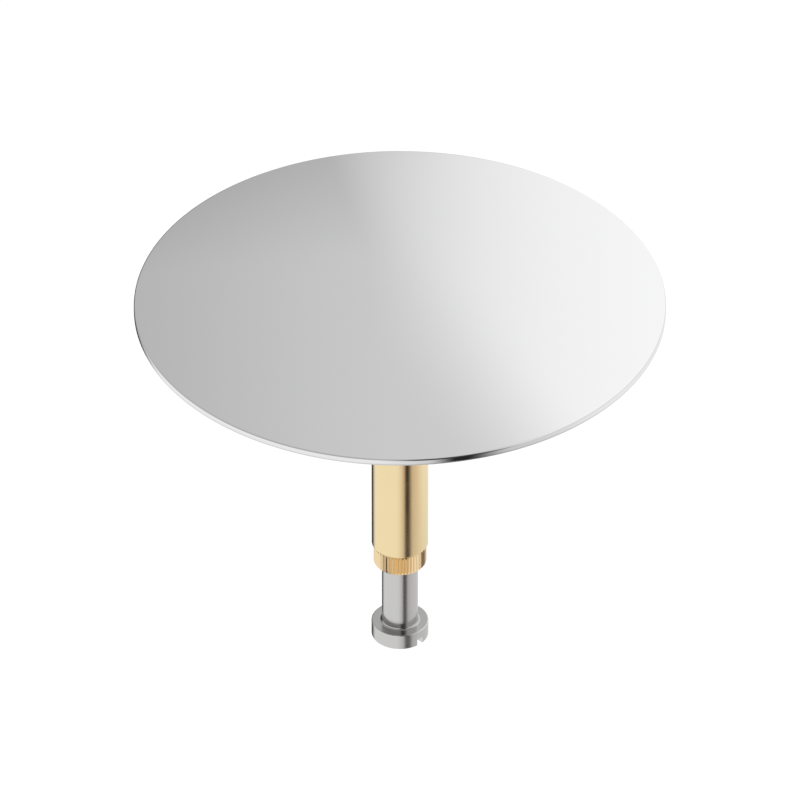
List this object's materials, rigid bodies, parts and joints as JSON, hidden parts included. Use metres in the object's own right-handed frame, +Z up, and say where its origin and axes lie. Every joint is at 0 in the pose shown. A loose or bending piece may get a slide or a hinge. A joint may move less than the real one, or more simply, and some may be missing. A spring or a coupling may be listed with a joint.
{
  "type": "drain stopper",
  "caption": "Round flat drain plug with a lip seal under its cover and a brass stem whose slotted screw sets the plug's height.",
  "frame": {"origin": "on the plug's axis, in the plane of the cover's underside, where the plug sits over its drain", "axes": "+Z up along the plug's axis, out of the drain; the stem points along -Z; the screwdriver slot lies halfway between +X and -Y"},
  "size_m": [0.072, 0.072, 0.0564],
  "materials": {
    "chromed_cover": "polished chrome plating",
    "stud_brass": "turned brass",
    "gasket_rubber": "matt",
    "carrier_plastic": "moulded, satin",
    "seal_rubber": "matt",
    "washer_steel": "satin",
    "sleeve_brass": "turned brass, satin",
    "nut_brass": "knurled brass",
    "screw_steel": "satin stainless"
  },
  "bodies": {
    "plug": {"cover_plate": "chromed_cover", "cover_stud": "stud_brass", "cover_gasket": "gasket_rubber", "seal_carrier": "carrier_plastic", "profile_seal": "seal_rubber", "clamp_washer": "washer_steel", "stem_sleeve": "sleeve_brass"},
    "lock_nut": {"lock_nut": "nut_brass"},
    "adjusting_screw": {"adjusting_screw": "screw_steel"}
  },
  "joints": [
    {"name": "screw_height", "type": "slide", "parent": "plug", "child": "adjusting_screw", "axis": [0, 0, -1], "range_m": [-0.0099, 0.0065]},
    {"name": "nut_turn", "type": "hinge", "parent": "plug", "child": "lock_nut", "pos_m": [0, 0, -0.03975], "axis": [0, 0, -1], "range_deg": [0, 360]}
  ]
}
